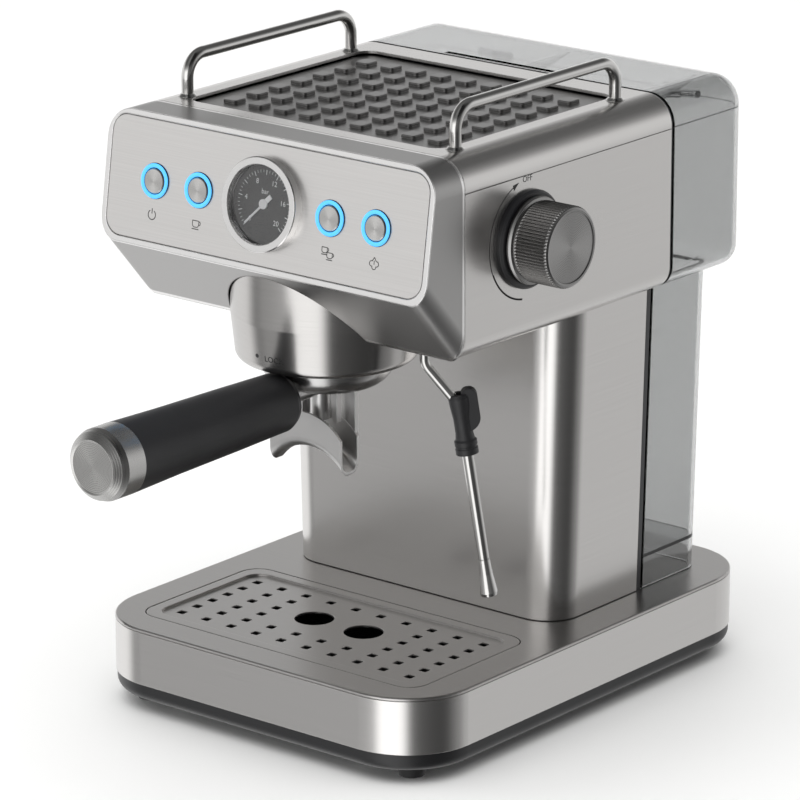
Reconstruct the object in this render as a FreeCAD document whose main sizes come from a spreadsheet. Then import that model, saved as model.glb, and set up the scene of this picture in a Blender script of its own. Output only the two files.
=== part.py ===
"""Pump espresso machine as a parametric assembly, in millimetres.

X runs to the machine's right, Y to its back, Z up. The origin lies on the worktop, midway between the four feet.
"""
import FreeCAD, Part
import os
import re

import Sketcher

doc = FreeCAD.newDocument("espresso_machine")
V = FreeCAD.Vector
SHARP = ("0", "0", "0", "0")

# ---------------------------------------------------------------- driving dimensions
SIZES = {
    # base
    "base_width": 230, "base_depth": 297, "base_corner": 40, "skirt_z": 7, "band_z": 17, "plate_z": 48,
    "steel": 1.5, "plastic": 2.5, "seam": 0.35, "foot_x": 90, "foot_y": 124, "foot_radius": 7.5,
    # drip tray and its grille
    "tray_y": -80.5, "tray_width": 190.6, "tray_depth": 97.6, "tray_corner": 12, "tray_gap": 0.6,
    "tray_floor_z": 24.5, "grille_sheet": 1.2, "grille_rim": 6.5, "hole_size": 4.8, "hole_pitch_x": 17.4,
    "hole_pitch_y": 12.35, "finger_hole_radius": 10.7, "finger_hole_x": 17,
    # column
    "column_low": 92.5, "column_high": 97, "column_front": -7, "column_back": 65.5, "column_corner": 20,
    # head
    "head_half": 109, "head_floor": 219, "seam_z": 307.5, "head_front": -105, "head_back": 69,
    "top_corner": 16, "low_corner": 13, "panel_y": -136.9, "panel_z": 255, "panel_height": 70.2,
    "panel_lean": 8.34, "panel_corner": 10, "panel_inset": 3,
    # cup tray and rails
    "cup_half": 85, "cup_front": -95, "cup_back": 52.5, "cup_drop": 2.4, "pad_width": 9, "pad_depth": 10,
    "pad_pitch_x": 17.1, "pad_pitch_y": 18, "rail_x": 89.5, "rail_front": -88.5, "rail_back": 45,
    "rail_z": 345.8, "rod_radius": 3.2,
    # controls
    "button_row": 35.2, "button_outer": 74, "button_inner": 44, "button_radius": 6.9, "ring_radius": 9.4,
    "gauge_radius": 24.6, "dial_radius": 20.3, "gauge_proud": 5, "needle_rest": 135,
    "knob_y": -53.6, "knob_z": 273.8, "knob_radius": 21.2, "knob_ring_radius": 25.7, "knob_face_x": 137,
    # group and portafilter
    "group_y": -82.4, "shroud_z": 198.7, "shroud_radius": 47.7, "shroud_top_radius": 50.4,
    "shroud_wide_z": 224, "shroud_top": 252, "bowl_radius": 35.5,
    "handle_z": 182.3, "grip_start": 36, "grip_end": 162, "handle_length": 181.3, "grip_radius": 15.8,
    "grip_end_radius": 18.9, "spout_y": -93.5, "spout_z": 152.1, "spout_deep": 19.5, "spout_wide": 15,
    "spout_reach": 24, "spout_bend": 30.8, "stem_y": -86, "bowl_z": 184.2,
    # steam wand
    "wand_x": 78.6, "wand_y": -99.4, "wand_turn": 41, "pipe_radius": 2.5, "wand_reach": 18.3, "wand_knee_z": 189.5,
    "wand_lean": 8.5,
    # water tank
    "tank_front": 71, "tank_back": 137.4, "tank_corner": 14, "tank_low_back": 125, "tank_floor_z": 65,
    "tank_wall": 2.2, "hinge_y": 140, "pin_radius": 1.18,
}

sheet = doc.addObject("Spreadsheet::Sheet", "dim")
for row, (alias, value) in enumerate(SIZES.items(), start=1):
    sheet.set(f"A{row}", alias)
    sheet.set(f"B{row}", str(value))
    sheet.setAlias(f"B{row}", alias)
doc.recompute()


def linked(text):
    """An expression with every alias in it pointed at the sheet."""
    return re.sub(r"[a-z][a-z_]*\b", lambda m: f"dim.{m[0]}" if m[0] in SIZES else m[0], str(text))


def value(text):
    return float(sheet.evalExpression(linked(text)))


def bind(thing, prop, text):
    thing.setExpression(prop, linked(text))


def place(thing, x="0", y="0", z="0"):
    for letter, text in zip("xyz", (x, y, z)):
        bind(thing, f"Placement.Base.{letter}", text)
    return thing


def lean_on_panel(thing, x="0", up="0", out="0"):
    """Put a piece drawn flat (its Z outwards) on the leaning front panel, `up` from its bottom edge."""
    thing.Placement = FreeCAD.Placement(V(0, 0, 0), FreeCAD.Rotation(V(1, 0, 0), 90 - value("panel_lean")))
    bind(thing, "Placement.Base.x", x)
    bind(thing, "Placement.Base.y", f"panel_y + ({up})*sin(panel_lean) - ({out})*cos(panel_lean)")
    bind(thing, "Placement.Base.z", f"panel_z + ({up})*cos(panel_lean) + ({out})*sin(panel_lean)")
    return thing


# ---------------------------------------------------------------- drawing and solid tools
def new_body(name):
    body = doc.addObject("PartDesign::Body", name)
    body.Label = name
    return body


def new_sketch(body, plane, at="0"):
    """A sketch on the body's XY, XZ or YZ plane, `at` along +Z, +Y or +X."""
    sketch = body.newObject("Sketcher::SketchObject", f"{body.Name}_sketch")
    support = [f for f in body.Origin.OriginFeatures if f.Role == f"{plane}_Plane"][0]
    sketch.AttachmentSupport = (support, [""])
    sketch.MapMode = "FlatFace"
    bind(sketch, "AttachmentOffset.Base.z", f"-({at})" if plane == "XZ" else at)
    return sketch


def hold(sketch, kind, *where, size):
    """Add a dimension to the sketch and bind it to the sheet."""
    index = sketch.addConstraint(Sketcher.Constraint(kind, *where, value(size)))
    sketch.setExpression(f"Constraints[{index}]", linked(size))


def add_polygon(sketch, points):
    """A closed polygon; each point is a pair of expressions."""
    first = sketch.GeometryCount
    spots = [V(value(x), value(y), 0) for x, y in points]
    for i, spot in enumerate(spots):
        sketch.addGeometry(Part.LineSegment(spot, spots[(i + 1) % len(spots)]), False)
    for i, (x, y) in enumerate(points):
        following = first + (i + 1) % len(points)
        sketch.addConstraint(Sketcher.Constraint("Coincident", first + i, 2, following, 1))
        hold(sketch, "DistanceX", -1, 1, first + i, 1, size=x)
        hold(sketch, "DistanceY", -1, 1, first + i, 1, size=y)


def add_circle(sketch, x, y, radius):
    index = sketch.addGeometry(Part.Circle(V(value(x), value(y), 0), V(0, 0, 1), value(radius)), False)
    hold(sketch, "DistanceX", -1, 1, index, 3, size=x)
    hold(sketch, "DistanceY", -1, 1, index, 3, size=y)
    hold(sketch, "Radius", index, size=radius)


def add_rectangle(sketch, left, right, low, high, corners=SHARP):
    """A rectangle whose corners (low left, low right, high right, high left) are rounded where not "0"."""
    sides = ((left, low), (right, low), (right, high), (left, high))
    radii = [value(c) for c in corners]
    spots = [V(value(x), value(y), 0) for x, y in sides]
    along = (V(1, 0, 0), V(0, 1, 0), V(-1, 0, 0), V(0, -1, 0))
    lines = []
    for i in range(4):
        start = spots[i] + along[i] * radii[i]
        stop = spots[(i + 1) % 4] - along[i] * radii[(i + 1) % 4]
        lines.append(sketch.addGeometry(Part.LineSegment(start, stop), False))
        sketch.addConstraint(Sketcher.Constraint("Vertical" if i % 2 else "Horizontal", lines[i]))
    for i in range(4):
        before = lines[i - 1]
        if not radii[i]:
            sketch.addConstraint(Sketcher.Constraint("Coincident", before, 2, lines[i], 1))
            continue
        centre = spots[i] + (along[i] - along[i - 1]) * radii[i]
        turn = FreeCAD.Units.parseQuantity(f"{90 * (i + 2)} deg").getValueAs("rad").Value
        circle = Part.Circle(centre, V(0, 0, 1), radii[i])
        quarter = FreeCAD.Units.parseQuantity("90 deg").getValueAs("rad").Value
        arc = sketch.addGeometry(Part.ArcOfCircle(circle, turn, turn + quarter), False)
        sketch.addConstraint(Sketcher.Constraint("Tangent", before, 2, arc, 1))
        sketch.addConstraint(Sketcher.Constraint("Tangent", arc, 2, lines[i], 1))
        hold(sketch, "Radius", arc, size=corners[i])
    for i, (kind, size) in enumerate((("DistanceY", low), ("DistanceX", right), ("DistanceY", high), ("DistanceX", left))):
        hold(sketch, kind, -1, 1, lines[i], 1, size=size)


def extrude(body, sketch, kind, length, backwards=False, both=False):
    feature = body.newObject(f"PartDesign::{kind}", f"{body.Name}_{kind}")
    feature.Profile = sketch
    feature.Reversed = backwards
    feature.Midplane = both
    bind(feature, "Length", length)
    return feature


def add_block(body, plane, start, end, *outline, corners=SHARP):
    """Pad a rounded rectangle along the plane's axis from `start` to `end`."""
    sketch = new_sketch(body, plane, start)
    add_rectangle(sketch, *outline, corners=corners)
    extrude(body, sketch, "Pad", f"({end}) - ({start})", backwards=plane == "XZ")
    return body


def cut_block(body, plane, start, end, *outline, corners=SHARP):
    sketch = new_sketch(body, plane, start)
    add_rectangle(sketch, *outline, corners=corners)
    extrude(body, sketch, "Pocket", f"({end}) - ({start})", backwards=plane != "XZ")
    return body


def cut_round(body, plane, start, end, *circles):
    sketch = new_sketch(body, plane, start)
    for circle in circles:
        add_circle(sketch, *circle)
    extrude(body, sketch, "Pocket", f"({end}) - ({start})", backwards=plane != "XZ")
    return body


def lathe(name, points):
    """A body turned from a polygon of (radius, height) pairs."""
    body = new_body(name)
    sketch = new_sketch(body, "XZ")
    add_polygon(sketch, points)
    feature = body.newObject("PartDesign::Revolution", f"{name}_Revolution")
    feature.Profile = sketch
    feature.ReferenceAxis = (sketch, ["V_Axis"])
    feature.Angle = 360
    return body


def round_where(body, radius, test):
    """Fillet the edges of the body's last feature that pass the test."""
    doc.recompute()
    last = body.Tip
    picked = [f"Edge{number}" for number, edge in enumerate(last.Shape.Edges, start=1) if test(edge)]
    feature = body.newObject("PartDesign::Fillet", f"{body.Name}_Fillet")
    feature.Base = (last, picked)
    bind(feature, "Radius", radius)
    doc.recompute()
    return body


def round_edges(body, radius, axis, level):
    """Fillet the edges that lie whole in the plane axis = level."""
    at = value(level)

    def in_plane(edge):
        low, high = getattr(edge.BoundBox, f"{axis}Min"), getattr(edge.BoundBox, f"{axis}Max")
        return abs(low - at) < 0.02 and abs(high - at) < 0.02

    return round_where(body, radius, in_plane)


def round_slanted(body, radius, corners):
    """Fillet the upright edges that start at the given (x, y, z) corners."""
    points = [Part.Vertex(V(*[value(c) for c in corner])) for corner in corners]

    def upright(edge):
        return edge.BoundBox.ZLength > 5 and any(edge.distToShape(p)[0] < 0.02 for p in points)

    return round_where(body, radius, upright)


def round_through(body, radius, spots):
    """Fillet the edges that pass through the given (x, y, z) spots."""
    points = [Part.Vertex(V(*[value(s) for s in spot])) for spot in spots]
    return round_where(body, radius, lambda edge: any(edge.distToShape(p)[0] < 0.02 for p in points))


def repeat(body, feature, axis, pitch, count):
    pattern = body.newObject("PartDesign::LinearPattern", f"{body.Name}_pattern")
    pattern.Originals = [feature]
    pattern.Direction = (feature.Profile[0], [axis])
    bind(pattern, "Length", f"({pitch})*{count - 1}")
    pattern.Occurrences = count
    body.Tip = pattern
    return pattern


def solid(kind, x="0", y="0", z="0", turned=None, **sizes):
    """A Part primitive with bound sizes; `turned` is an (axis, degrees) pair."""
    piece = doc.addObject(f"Part::{kind}", kind.lower())
    for prop, size in sizes.items():
        bind(piece, prop, size)
    if turned:
        piece.Placement = FreeCAD.Placement(V(0, 0, 0), FreeCAD.Rotation(V(*turned[0]), turned[1]))
    return place(piece, x, y, z)


def box(left, right, front, back, low, high):
    return solid("Box", left, front, low, Length=f"({right}) - ({left})", Width=f"({back}) - ({front})",
                 Height=f"({high}) - ({low})")


def rod(x, y, z, radius, length, along="z"):
    """A cylinder that starts at a point and runs along +x, +y or +z."""
    turned = {"x": ((0, 1, 0), 90), "y": ((1, 0, 0), -90), "z": None}[along]
    return solid("Cylinder", x, y, z, turned, Radius=radius, Height=length)


def joined(name, *pieces):
    piece = doc.addObject("Part::MultiFuse", name)
    piece.Shapes = list(pieces)
    piece.Label = name
    return piece


def grouped(name, *pieces):
    """Separate solids that share one node, such as a set of screws."""
    piece = doc.addObject("Part::Compound", name)
    piece.Links = list(pieces)
    piece.Label = name
    return piece


def cut(name, whole, *tools):
    tool = tools[0] if len(tools) == 1 else joined(f"{name}_tools", *tools)
    piece = doc.addObject("Part::Cut", name)
    piece.Base = whole
    piece.Tool = tool
    piece.Label = name
    return piece


def named(name, piece):
    piece.Label = name
    return piece


def pipe(name, points, radius, bend):
    """A round bar or filled tube along straight runs joined by tangent arcs."""
    spots = [V(*[value(c) for c in point]) for point in points]
    bend = value(bend)
    edges = []
    last = spots[0]
    for before, corner, after in zip(spots, spots[1:], spots[2:]):
        into = (corner - before).normalize()
        out = (after - corner).normalize()
        reach = bend * (1 - FreeCAD.Vector(into).dot(out)) / max(1e-9, FreeCAD.Vector(into).cross(out).Length)
        start = corner - into * reach
        stop = corner + out * reach
        inward = (out - into).normalize()
        centre = corner + inward * (bend**2 + reach**2) ** 0.5
        middle = centre - inward * bend
        edges.append(Part.LineSegment(last, start).toShape())
        edges.append(Part.Arc(start, middle, stop).toShape())
        last = stop
    edges.append(Part.LineSegment(last, spots[-1]).toShape())
    path = Part.Wire(edges)
    heading = (spots[1] - spots[0]).normalize()
    ring = Part.Wire(Part.Circle(spots[0], heading, value(radius)).toShape())
    piece = doc.addObject("Part::Feature", name)
    piece.Shape = path.makePipeShell([ring], True, False)
    piece.Label = name
    return piece


nodes = []


def keep(piece):
    """Mark a finished sub-part, which is written as one node."""
    nodes.append(piece)
    return piece


# ---------------------------------------------------------------- base
def base_form(name, inset, low, high):
    body = new_body(name)
    half_x = f"base_width/2 - ({inset})"
    half_y = f"base_depth/2 - ({inset})"
    corner = (f"base_corner - ({inset})",) * 4
    return add_block(body, "XY", low, high, f"-({half_x})", half_x, f"-({half_y})", half_y, corners=corner)


def base_band():
    """Steel wall of the base, with a turned-in flange under the plate and tabs for the skirt's screws."""
    wall = base_form("band_wall", "0", "band_z", "plate_z - steel - seam")
    flange = base_form("band_flange", "0.7", "plate_z - 2.6", "plate_z - steel")
    hollow = base_form("band_hollow", "steel", "band_z - 1", "plate_z - 2*steel")
    mouth = base_form("band_mouth", "9", "band_z - 1", "plate_z")
    gland = rod("-70", "base_depth/2 - 8", "32", "8", "16", "y")
    pressing = cut("band_pressing", joined("band_whole", wall, flange), hollow, mouth, gland)
    tabs = [box(f"{sx}*62 - 6", f"{sx}*62 + 6", f"{sy}*136 - 11", f"{sy}*136 + 11", "band_z", "band_z + steel")
            for sx in (-1, 1) for sy in (-1, 1)]
    threads = [rod(x, y, "band_z - 1", "1.62", "4") for x, y in screw_spots()]
    return cut("base_band", joined("band_with_tabs", pressing, *tabs), *threads)


def base_plate():
    """Steel top plate, open over the drip tray, the column's shaft and the tank's seat."""
    whole = base_form("base_plate_form", "0", "plate_z - steel", "plate_z")
    round_edges(whole, "0.9", "Z", "plate_z")
    mouth = new_body("tray_mouth")
    add_block(mouth, "XY", "plate_z - 5", "plate_z + 5", "-tray_width/2", "tray_width/2",
              "tray_y - tray_depth/2", "tray_y + tray_depth/2", corners=("tray_corner",) * 4)
    shaft = box("-78", "78", "2", "58", "plate_z - 5", "plate_z + 5")
    seat = rod("0", "98", "plate_z - 5", "15", "10")
    return cut("base_plate", whole, mouth, shaft, seat)


def base_skirt():
    """Black moulding that closes the base from below and carries the feet."""
    whole = base_form("skirt_form", "0.6", "skirt_z", "band_z")
    round_edges(whole, "6", "Z", "skirt_z")
    hollow = base_form("skirt_hollow", "0.6 + plastic", "skirt_z + plastic", "band_z + 1")
    vents = [rod(f"{-30 + 12 * i}", "60", "skirt_z - 1", "2.5", "5") for i in range(6)]
    tray = cut("skirt_tray", whole, hollow, *vents)
    bosses = [rod(x, y, "skirt_z + 1", "4.5", "band_z - skirt_z - 1") for x, y in screw_spots()]
    holes = [rod(x, y, "skirt_z - 1", "1.62", "12") for x, y in screw_spots()]
    sinks = [rod(x, y, "skirt_z - 1", "3.2", "3") for x, y in screw_spots()]
    return cut("base_skirt", joined("skirt_with_bosses", tray, *bosses), *holes, *sinks)


def screw_spots():
    return [(f"{sx}*62", f"{sy}*130") for sx in (-1, 1) for sy in (-1, 1)]


def base_screws():
    """Four screws from below, through the skirt's bosses into the shell's tabs."""
    return [joined("screw", rod(x, y, "skirt_z + 0.3", "3", "1.7"), rod(x, y, "skirt_z + 1", "1.6", "11"))
            for x, y in screw_spots()]


def feet():
    spots = [(f"{sx}*foot_x", f"{sy}*foot_y") for sx in (-1, 1) for sy in (-1, 1)]
    return [solid("Cone", x, y, "0", Radius1="foot_radius - 0.6", Radius2="foot_radius + 0.8", Height="skirt_z")
            for x, y in spots]


def tray_well():
    """Plastic well under the plate that the drip tray drops into."""
    body = new_body("tray_well")
    reach = "tray_width/2 + 3"
    deep = "tray_depth/2 + 3"
    add_block(body, "XY", "tray_floor_z - 3.5", "plate_z - steel", f"-({reach})", reach, f"tray_y - ({deep})",
              f"tray_y + ({deep})", corners=("tray_corner + 3",) * 4)
    cut_block(body, "XY", "tray_floor_z", "plate_z", "-tray_width/2 - 0.8", "tray_width/2 + 0.8",
              "tray_y - tray_depth/2 - 0.8", "tray_y + tray_depth/2 + 0.8", corners=("tray_corner + 0.8",) * 4)
    return body


def tray_outline(inset):
    return (f"-(tray_width/2 - ({inset}))", f"tray_width/2 - ({inset})",
            f"tray_y - (tray_depth/2 - ({inset}))", f"tray_y + tray_depth/2 - ({inset})")


def drip_tray():
    body = new_body("drip_tray")
    top = "plate_z - grille_sheet"
    add_block(body, "XY", "tray_floor_z", top, *tray_outline("1"), corners=("tray_corner - 1",) * 4)
    round_edges(body, "4", "Z", "tray_floor_z")
    cut_block(body, "XY", "tray_floor_z + 1.8", top, *tray_outline("3"), corners=("tray_corner - 3",) * 4)
    return body


def drip_grille():
    """Pressed steel plate: a flat rim, a sunk floor, square drain holes and two finger holes."""
    body = new_body("drip_grille")
    add_block(body, "XY", "plate_z - 2*grille_sheet", "plate_z", *tray_outline("tray_gap"),
              corners=("tray_corner - tray_gap",) * 4)
    round_edges(body, "0.4", "Z", "plate_z")
    inner = "tray_gap + grille_rim"
    cut_block(body, "XY", "plate_z - grille_sheet", "plate_z + 1", *tray_outline(inner),
              corners=("tray_corner - 3",) * 4)
    skirt = new_sketch(body, "XY", "plate_z - 2*grille_sheet")
    add_rectangle(skirt, *tray_outline("tray_gap - 1"), corners=("tray_corner",) * 4)
    add_rectangle(skirt, *tray_outline(f"{inner} - grille_sheet"), corners=("tray_corner - 2",) * 4)
    extrude(body, skirt, "Pocket", "grille_sheet", backwards=True)
    every_row = range(6)
    outer_rows = (0, 1, 5)
    for first_column, count, rows in ((0, 3, every_row), (3, 4, outer_rows), (7, 3, every_row)):
        column = new_sketch(body, "XY", "plate_z - 2*grille_sheet - 1")
        for line in rows:
            x = f"({first_column} - 4.5)*hole_pitch_x"
            y = f"tray_y + ({line} - 2.5)*hole_pitch_y"
            add_rectangle(column, f"{x} - hole_size/2", f"{x} + hole_size/2", f"{y} - hole_size/2",
                          f"{y} + hole_size/2", corners=("0.8",) * 4)
        holes = extrude(body, column, "Pocket", "4", backwards=True)
        doc.recompute()
        repeat(body, holes, "H_Axis", "hole_pitch_x", count)
        doc.recompute()
    middle = "tray_y + hole_pitch_y/2"
    cut_round(body, "XY", "plate_z - 5", "plate_z", ("finger_hole_x", middle, "finger_hole_radius"),
              ("-finger_hole_x", middle, "finger_hole_radius"))
    return body


def build_base():
    keep(base_band())
    keep(base_plate())
    keep(base_skirt())
    keep(grouped("feet", *feet()))
    keep(tray_well())
    keep(drip_tray())
    keep(drip_grille())


# ---------------------------------------------------------------- column
def column_form(name, inset, front, back, low="plate_z", high="head_floor"):
    """A prism whose sides lean outwards towards the head, with rounded front corners."""
    body = new_body(name)
    sketch = new_sketch(body, "XZ", front)
    spread = "(column_high - column_low)/(head_floor - plate_z)"
    low_half = f"column_low + ({low} - plate_z)*{spread} - ({inset})"
    high_half = f"column_low + ({high} - plate_z)*{spread} - ({inset})"
    add_polygon(sketch, [(f"-({low_half})", low), (low_half, low), (high_half, high), (f"-({high_half})", high)])
    extrude(body, sketch, "Pad", f"({back}) - ({front})", backwards=True)
    spots = [(f"{side}*({low_half})", front, low) for side in (-1, 1)]
    return round_slanted(body, f"column_corner - ({inset})", spots)


def column_shell():
    foot = box("-120", "120", "column_front - 5", "column_back + 5", "plate_z - 5", "plate_z + seam")
    whole = column_form("column_form", "0", "column_front", "column_back")
    hollow = column_form("column_hollow", "steel", "column_front + steel", "column_back + 5")
    return cut("column_shell", whole, hollow, foot)


def column_back():
    """Dark plastic wall between the column and the water tank."""
    body = new_body("column_back")
    sketch = new_sketch(body, "XZ", "column_back")
    add_polygon(sketch, [("-column_low + 0.6", "plate_z"), ("column_low - 0.6", "plate_z"),
                         ("column_high - 0.6", "head_floor"), ("0.6 - column_high", "head_floor")])
    extrude(body, sketch, "Pad", "4.3", backwards=True)
    return body


# ---------------------------------------------------------------- head
def head_form(name, inset, front, back, low, high):
    """A length of the head's section: large radii below, smaller ones on the shoulders."""
    body = new_body(name)
    half = f"head_half - ({inset})"
    corners = [f"low_corner - ({inset})"] * 2 + [f"top_corner - ({inset})"] * 2
    if low == "seam":
        corners[:2] = ["0", "0"]
    if high == "seam":
        corners[2:] = ["0", "0"]
    bottom = "seam_z" if low == "seam" else f"head_floor + ({inset})"
    top = "seam_z" if high == "seam" else f"{HEAD_TOP} - ({inset})"
    return add_block(body, "XZ", front, back, f"-({half})", half, bottom, top, corners=corners)


HEAD_TOP = "(panel_z + panel_height*cos(panel_lean))"


def shroud_form(name, gap, low, high):
    """The round group cover's outer form: it widens up to the head, then stays round."""
    body = lathe(name, [("0", low), (f"shroud_radius + ({gap})", low), (f"shroud_top_radius + ({gap})", "shroud_wide_z"),
                        (f"shroud_top_radius + ({gap})", high), ("0", high)])
    return place(body, "0", "group_y", "0")


def head_shell():
    """Side walls and underside, folded from one sheet, with openings for the group, column and wand."""
    whole = head_form("head_shell_form", "0", "head_front + seam", "head_back", "floor", "seam")
    hollow = head_form("head_shell_hollow", "steel", "head_front - 1", "head_back + 1", "floor", "top")
    group = shroud_form("head_group_hole", "0.8", "shroud_z", "shroud_top")
    shaft = box("-85", "85", "5", "60", "head_floor - 3", "head_floor + 5")
    wand = rod("wand_x", "wand_y", "head_floor - 3", "3.8", "8")
    spindle = rod("head_half - 6", "knob_y", "knob_z", "5.5", "12", "x")
    edge = box("-120", "120", "head_front - 5", "head_back + 5", "seam_z - seam", "seam_z + 5")
    return cut("head_shell", whole, hollow, group, shaft, wand, spindle, edge)


def top_cover():
    """Cover with rounded shoulders and the cup tray's opening."""
    whole = head_form("top_cover_form", "0", "head_front + seam", "head_back", "seam", "top")
    hollow = head_form("top_cover_hollow", "steel", "head_front - 1", "head_back + 1", "floor", "top")
    mouth = new_body("cup_mouth")
    add_block(mouth, "XY", "seam_z", "seam_z + 30", "-cup_half", "cup_half", "cup_front", "cup_back",
              corners=("9",) * 4)
    return cut("top_cover", whole, hollow, mouth)


def cup_tray():
    """Cup-warmer plate with rows of raised square pads, hung in the cover's opening."""
    body = new_body("cup_tray")
    level = f"{HEAD_TOP} - cup_drop"
    add_block(body, "XY", f"{level} - 1.5", level, "0.4 - cup_half", "cup_half - 0.4", "cup_front + 0.4",
              "cup_back - 0.4", corners=("8.6",) * 4)
    column = new_sketch(body, "XY", level)
    for line in range(7):
        y = f"(cup_front + cup_back)/2 + ({line} - 3)*pad_pitch_y"
        add_rectangle(column, "-4*pad_pitch_x - pad_width/2", "pad_width/2 - 4*pad_pitch_x", f"{y} - pad_depth/2",
                      f"{y} + pad_depth/2", corners=("2.2",) * 4)
    pads = extrude(body, column, "Pad", "1.9")
    doc.recompute()
    repeat(body, pads, "H_Axis", "pad_pitch_x", 9)
    round_edges(body, "0.5", "Z", f"{level} + 1.9")
    return body


def cup_rail(name, side):
    """Bent steel rod with a small collar on each post."""
    x = f"{side}*rail_x"
    foot = f"{HEAD_TOP} - 4"
    points = [(x, "rail_front", foot), (x, "rail_front", "rail_z"), (x, "rail_back", "rail_z"),
              (x, "rail_back", foot)]
    bar = pipe(f"{name}_bar", points, "rod_radius", "12")
    collars = [solid("Cone", x, y, HEAD_TOP, Radius1="5", Radius2="3.6", Height="1.4")
               for y in ("rail_front", "rail_back")]
    return joined(name, bar, *collars)


def rear_frame():
    """Dark frame that closes the head's back and shows as a line between head and tank."""
    whole = head_form("rear_frame_form", "0.5", "head_back", "head_back + 1.6", "floor", "top")
    return named("rear_frame", whole)


def build_column_and_head():
    keep(column_shell())
    keep(column_back())
    keep(head_shell())
    posts = [rod(f"{side}*rail_x", y, "seam_z", "rod_radius + 0.02", "30") for side in (-1, 1)
             for y in ("rail_front", "rail_back")]
    cover = top_cover()
    cover.Label = "top_cover_blank"
    keep(cut("top_cover", cover, *posts))
    keep(cup_tray())
    keep(cup_rail("rail_left", -1))
    keep(cup_rail("rail_right", 1))
    keep(rear_frame())


# ---------------------------------------------------------------- front bezel and panel
def bezel_form(name, inset):
    """The head's front end: a leaning face above a chamfer that runs back to the underside."""
    body = new_body(name)
    sketch = new_sketch(body, "YZ")
    top_y = "panel_y + panel_height*sin(panel_lean)"
    add_polygon(sketch, [("head_front", f"{HEAD_TOP} - ({inset})"), (f"{top_y} + ({inset})", f"{HEAD_TOP} - ({inset})"),
                         (f"panel_y + ({inset})", f"panel_z + 0.35*({inset})"),
                         ("head_front", f"head_floor + 1.5*({inset})")])
    extrude(body, sketch, "Pad", f"2*(head_half - ({inset}))", both=True)
    doc.recompute()
    half = f"head_half - ({inset})"
    low = [(f"{side}*({half})", f"(panel_y + ({inset}) + head_front)/2",
            f"(panel_z + 0.35*({inset}) + head_floor + 1.5*({inset}))/2") for side in (-1, 1)]
    high = [(f"{side}*({half})", f"({top_y} + head_front)/2", f"{HEAD_TOP} - ({inset})") for side in (-1, 1)]
    round_through(body, f"low_corner - 3 - ({inset})", low)
    return round_through(body, f"top_corner - ({inset})", high)


def panel_tool(name, depth, *holes):
    """Round cutters that go square through the leaning face: (x, radius) pairs on the button row."""
    cutters = [lean_on_panel(solid("Cylinder", Radius=radius, Height="16"), x, "button_row", depth)
               for x, radius in holes]
    return joined(name, *cutters)


def button_holes(radius):
    return [(f"{side}*{x}", radius) for x in ("button_outer", "button_inner") for side in (-1, 1)]


def front_bezel():
    whole = bezel_form("bezel_form", "0")
    hollow = bezel_form("bezel_hollow", "2")
    recess = new_body("panel_recess")
    add_block(recess, "XY", "-1", "3", "panel_inset - head_half", "head_half - panel_inset", "panel_inset",
              "panel_height - panel_inset", corners=("panel_corner",) * 4)
    lean_on_panel(recess)
    group = shroud_form("bezel_group_hole", "0.8", "shroud_z", "shroud_top")
    holes = panel_tool("bezel_holes", "-10", *button_holes("ring_radius + 0.3"), ("0", "dial_radius + 2"))
    return cut("front_bezel", whole, hollow, recess, holes, group)


def front_panel():
    plate = new_body("panel_plate")
    add_block(plate, "XY", "-1", "0", "panel_inset - head_half + 0.5", "head_half - panel_inset - 0.5",
              "panel_inset + 0.5", "panel_height - panel_inset - 0.5", corners=("panel_corner - 0.5",) * 4)
    lean_on_panel(plate)
    holes = panel_tool("panel_holes", "-10", *button_holes("ring_radius + 0.02"), ("0", "dial_radius + 1.62"))
    return cut("front_panel", plate, holes)


def push_button(name, x):
    """Spun metal cap on a stem that reaches the switch behind the panel."""
    body = lathe(name, [("0", "-12"), ("2.2", "-12"), ("2.2", "-5"), ("button_radius - 0.3", "-5"),
                        ("button_radius - 0.3", "0.9"), ("button_radius - 0.8", "1.4"), ("0", "1.4")])
    return lean_on_panel(body, x, "button_row")


def button_ring(x):
    """Lit ring and sleeve round one button."""
    body = lathe("button_ring", [("button_radius", "-6"), ("ring_radius", "-6"), ("ring_radius", "0.4"),
                                 ("ring_radius - 0.6", "1"), ("button_radius + 0.4", "1"), ("button_radius", "0.6")])
    return lean_on_panel(body, x, "button_row")


def build_front():
    keep(front_bezel())
    keep(front_panel())
    keep(grouped("button_rings", *[button_ring(x) for x, _ in button_holes("0")]))
    keep(push_button("button_power", "-button_outer"))
    keep(push_button("button_cup", "-button_inner"))
    keep(push_button("button_two_cups", "button_inner"))
    keep(push_button("button_steam", "button_outer"))
    board = new_body("switch_board_plate")
    add_block(board, "XY", "-18", "-16.4", "-88", "88", "button_row - 27", "button_row + 9")
    gap = solid("Cylinder", "0", "button_row", "-20", Radius="22.4", Height="6")
    bare = cut("switch_board_bare", board, gap)
    switches = [box(f"{x} - 3", f"{x} + 3", "button_row - 3", "button_row + 3", "-16.4", "-14.6")
                for x, _ in button_holes("0")]
    keep(lean_on_panel(joined("switch_board", bare, *switches)))


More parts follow.
